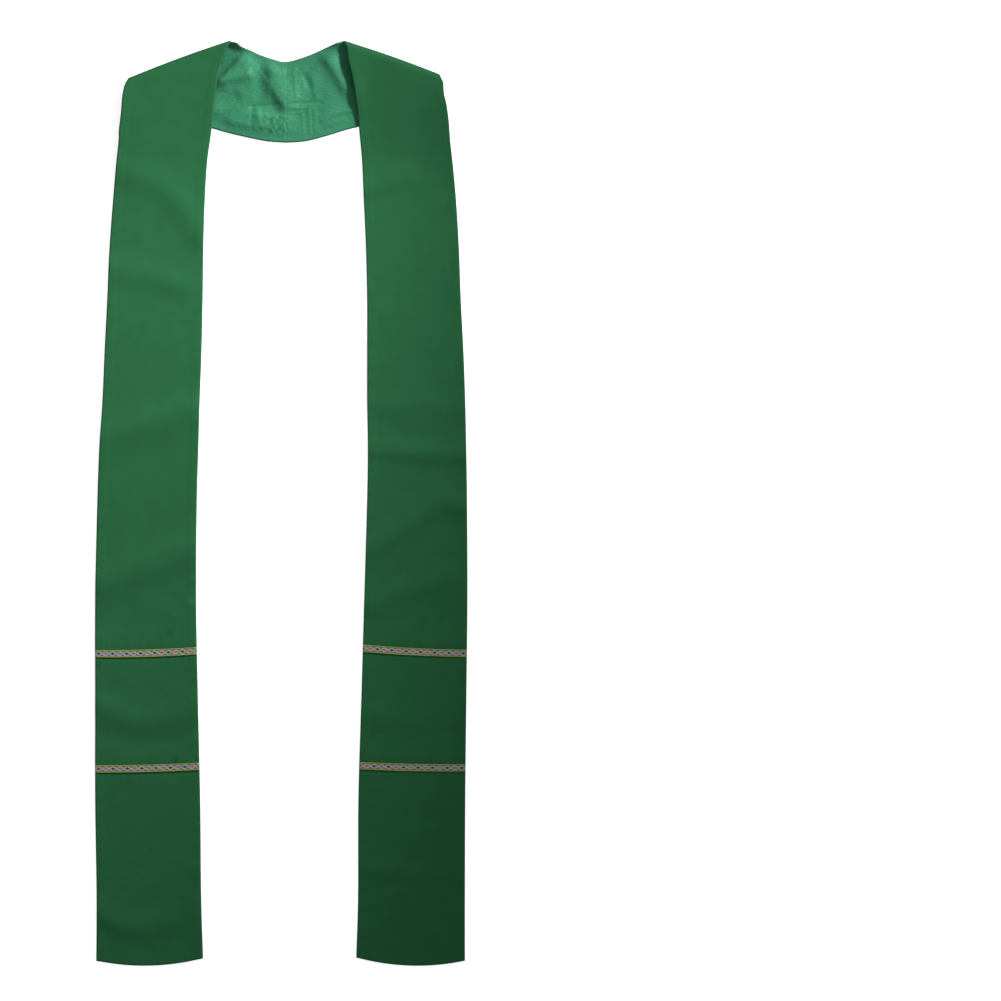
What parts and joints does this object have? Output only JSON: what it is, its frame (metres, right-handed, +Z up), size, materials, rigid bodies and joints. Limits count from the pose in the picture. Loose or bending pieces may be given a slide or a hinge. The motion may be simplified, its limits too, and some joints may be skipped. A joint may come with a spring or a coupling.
{
  "type": "clerical stole",
  "caption": "Long lined cloth stole laid flat: a curved yoke with both fronts folded forward over it, braid bands above the hems and a braid cross on the back.",
  "frame": {"origin": "centre of the underside of the stole's bounding box, on the surface it lies on", "axes": "+Z up from the surface, +Y along the stole from the hems to the neck, +X to the right as seen from above with the neck away from the viewer"},
  "size_m": [0.5117, 1.2708, 0.018],
  "materials": {
    "outer_cloth": "matt fine plain weave, dark green",
    "lining_satin": "smooth green satin lining with a soft gloss",
    "braid": "woven braid: silver zigzag between yellow-gold edges, with small pink and blue-grey threads"
  },
  "bodies": {
    "root": {"shell_left_yoke": "outer_cloth", "shell_left_shoulder": "outer_cloth", "shell_left_front": "outer_cloth", "shell_right_yoke": "outer_cloth", "shell_right_shoulder": "outer_cloth", "shell_right_front": "outer_cloth", "lining_left_yoke": "lining_satin", "lining_left_shoulder": "lining_satin", "lining_left_front": "lining_satin", "lining_right_yoke": "lining_satin", "lining_right_shoulder": "lining_satin", "lining_right_front": "lining_satin", "band_left_upper": "braid", "band_left_lower": "braid", "band_right_upper": "braid", "band_right_lower": "braid", "cross_upright": "braid", "cross_arm_left": "braid", "cross_arm_right": "braid"}
  },
  "joints": []
}
